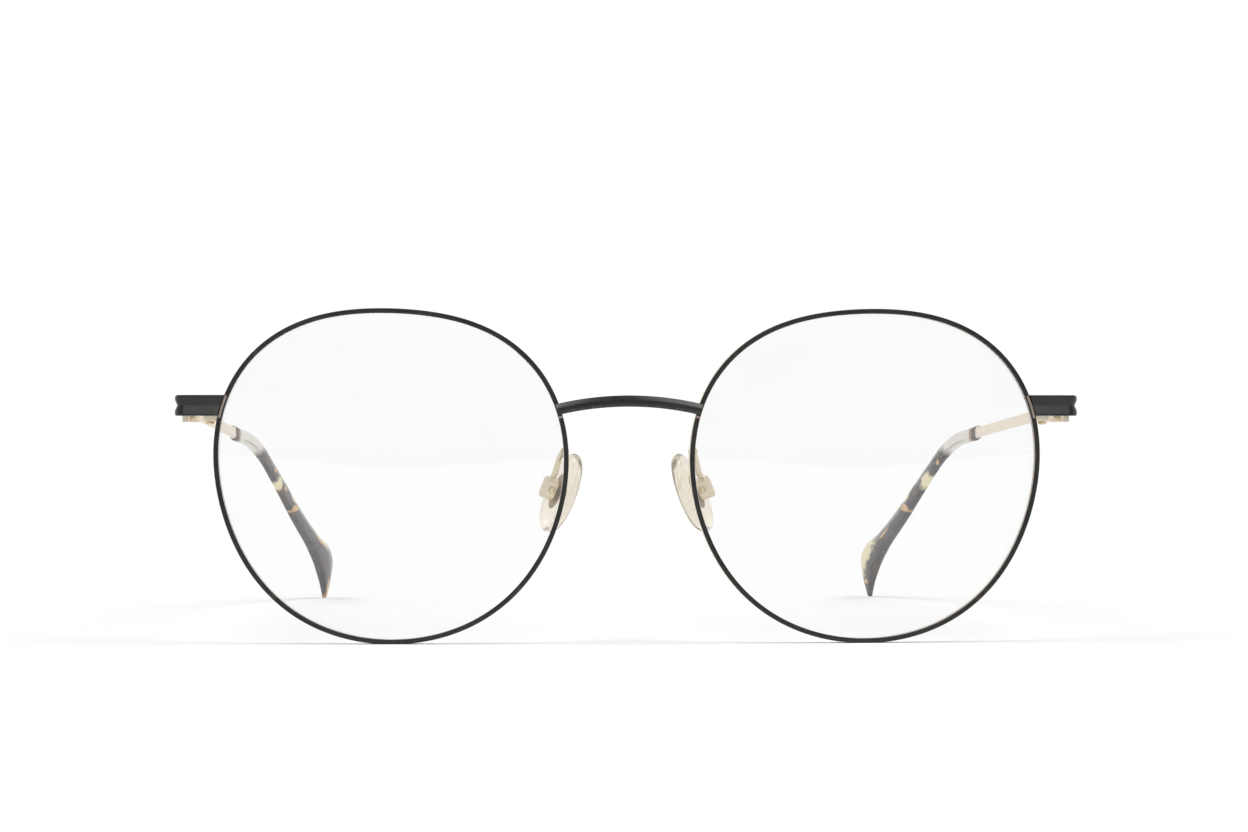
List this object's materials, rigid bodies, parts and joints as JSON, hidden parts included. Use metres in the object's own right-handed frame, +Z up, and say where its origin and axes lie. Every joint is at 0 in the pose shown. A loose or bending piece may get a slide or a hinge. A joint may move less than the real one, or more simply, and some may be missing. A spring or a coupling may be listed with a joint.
{
  "type": "eyeglasses",
  "caption": "Round metal eyeglasses with clear lenses, black front, folding gold temples, rocking nose pads and mottled plastic ear tips.",
  "frame": {"origin": "middle of the footprint, on the surface that the glasses stand on", "axes": "+X towards the wearer's left temple, +Z up; the front faces -Y and the open temples run back to +Y"},
  "size_m": [0.137, 0.133, 0.0506],
  "materials": {
    "black_paint": "satin black paint on metal",
    "gold_metal": "champagne gold plating, polished",
    "screw_metal": "gold plated screw, slotted",
    "clear_lens": "clear polished lens",
    "silicone": "clear soft silicone",
    "tortoise": "polished mottled plastic, dark with amber and pale patches"
  },
  "bodies": {
    "front": {"bridge": "black_paint", "rim_left": "black_paint", "rim_right": "black_paint", "lens_left": "clear_lens", "lens_right": "clear_lens", "end_piece_left": "black_paint", "end_piece_right": "black_paint", "closing_block_upper_left": "gold_metal", "closing_block_upper_right": "gold_metal", "closing_block_lower_left": "gold_metal", "closing_block_lower_right": "gold_metal", "lock_screw_left": "screw_metal", "lock_screw_right": "screw_metal", "hinge_front_leaf_left": "gold_metal", "hinge_front_leaf_right": "gold_metal", "hinge_screw_left": "screw_metal", "hinge_screw_right": "screw_metal", "pad_arm_left": "gold_metal", "pad_arm_right": "gold_metal", "pad_box_left": "gold_metal", "pad_box_right": "gold_metal", "pad_screw_left": "screw_metal", "pad_screw_right": "screw_metal"},
    "temple_left": {"hinge_temple_leaf_left": "gold_metal", "temple_bar_left": "gold_metal", "temple_tip_left": "tortoise"},
    "pad_left": {"nose_pad_left": "silicone", "pad_core_left": "gold_metal"},
    "temple_right": {"hinge_temple_leaf_right": "gold_metal", "temple_bar_right": "gold_metal", "temple_tip_right": "tortoise"},
    "pad_right": {"nose_pad_right": "silicone", "pad_core_right": "gold_metal"}
  },
  "joints": [
    {"name": "temple_left_fold", "type": "hinge", "parent": "front", "child": "temple_left", "pos_m": [0.0662, -0.05739, 0.0354], "axis": [0, 0, 1], "range_deg": [0, 84]},
    {"name": "temple_right_fold", "type": "hinge", "parent": "front", "child": "temple_right", "pos_m": [-0.0662, -0.05739, 0.0354], "axis": [0, 0, -1], "range_deg": [0, 79]},
    {"name": "nose_pad_left_rock", "type": "hinge", "parent": "front", "child": "pad_left", "pos_m": [0.0119, -0.05773, 0.02335], "axis": [0.4901, 0.8489, 0.198], "range_deg": [-8, 8]},
    {"name": "nose_pad_right_rock", "type": "hinge", "parent": "front", "child": "pad_right", "pos_m": [-0.0119, -0.05773, 0.02335], "axis": [0.4901, -0.8489, -0.198], "range_deg": [-8, 8]}
  ]
}
